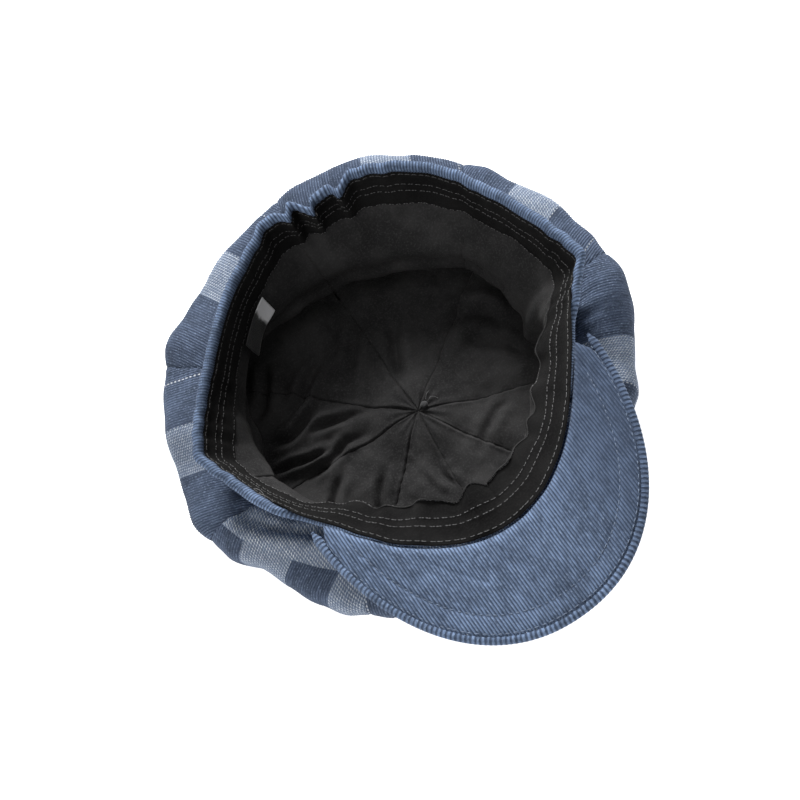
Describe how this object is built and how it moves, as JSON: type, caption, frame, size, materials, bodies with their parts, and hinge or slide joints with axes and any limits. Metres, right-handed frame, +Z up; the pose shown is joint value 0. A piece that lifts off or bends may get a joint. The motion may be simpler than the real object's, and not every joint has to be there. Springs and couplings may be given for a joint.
{
  "type": "newsboy cap",
  "caption": "Soft newsboy cap of plaid corduroy gores with a plain corduroy band and stiff visor, cotton lining, lying upside down on its crown.",
  "frame": {"origin": "the middle of the flat face of the covered button in the middle of the crown, where the cap rests on the ground", "axes": "+Z up out of the head opening, -Y towards the visor at the cap's front, +X to the right seen from the back of the cap"},
  "size_m": [0.2298, 0.2734, 0.075],
  "materials": {
    "crown_plaid": "brushed ribbed corduroy, navy and grey plaid",
    "band_corduroy": "brushed fine-wale corduroy, blue",
    "lining_cotton": "plain black cotton",
    "sweatband_twill": "black cotton twill with grey topstitching",
    "buckram": "stiffened open weave",
    "elastic": "woven elastic",
    "visor_plastic": "matt sheet",
    "steel": "pressed",
    "nylon": "moulded",
    "sewing_thread": "twisted",
    "label_satin": "satin tape"
  },
  "bodies": {
    "root": {"crown_panel_1": "crown_plaid", "crown_panel_2": "crown_plaid", "crown_panel_3": "crown_plaid", "crown_panel_4": "crown_plaid", "crown_panel_5": "crown_plaid", "crown_panel_6": "crown_plaid", "crown_panel_7": "crown_plaid", "crown_panel_8": "crown_plaid", "lining_panel_1": "lining_cotton", "lining_panel_2": "lining_cotton", "lining_panel_3": "lining_cotton", "lining_panel_4": "lining_cotton", "lining_panel_5": "lining_cotton", "lining_panel_6": "lining_cotton", "lining_panel_7": "lining_cotton", "lining_panel_8": "lining_cotton", "outer_band": "band_corduroy", "sweatband": "sweatband_twill", "band_stiffener": "buckram", "rear_elastic": "elastic", "button_cover": "crown_plaid", "button_shell": "steel", "button_back": "nylon", "button_thread": "sewing_thread"},
    "visor": {"visor_top_cover": "band_corduroy", "visor_under_cover": "band_corduroy", "visor_board": "visor_plastic", "visor_edge_piping": "band_corduroy"},
    "label": {"care_label": "label_satin"}
  },
  "joints": [
    {"name": "visor_tilt", "type": "hinge", "parent": "root", "child": "visor", "pos_m": [0, -0.036, 0.06997], "axis": [-1, 0, 0], "range_deg": [-3, 20], "stiffness_Nm_per_rad": 0.4, "springref_deg": 2.29},
    {"name": "label_flap", "type": "hinge", "parent": "root", "child": "label", "pos_m": [-0.04287, 0.07193, 0.04481], "axis": [-0.8746, -0.4848, 0], "range_deg": [0, 70], "stiffness_Nm_per_rad": 0.0002}
  ]
}
